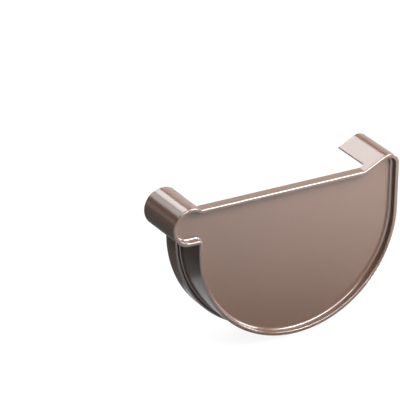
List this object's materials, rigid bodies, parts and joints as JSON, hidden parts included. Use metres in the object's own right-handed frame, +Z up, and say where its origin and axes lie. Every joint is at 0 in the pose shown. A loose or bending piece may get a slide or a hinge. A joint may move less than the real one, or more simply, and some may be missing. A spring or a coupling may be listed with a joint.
{
  "type": "gutter end cap",
  "caption": "Half-round plastic gutter end cap with a dished end wall in a raised rim, a rolled front bead, a rear snap hook and a rubber seal inside its mouth.",
  "frame": {"origin": "on the gutter's axis, the centre of the half circle, on the inner face of the end wall where the gutter's end stops", "axes": "+Y along the gutter, out of the cap's mouth; +X towards the wall side with the snap hook, -X towards the front bead; +Z up"},
  "size_m": [0.1494, 0.033, 0.101],
  "materials": {
    "moulded_plastic": "glossy brown",
    "seal_rubber": "dark grey, satin"
  },
  "bodies": {
    "root": {"cap_body": "moulded_plastic", "rubber_seal": "seal_rubber"}
  },
  "joints": []
}
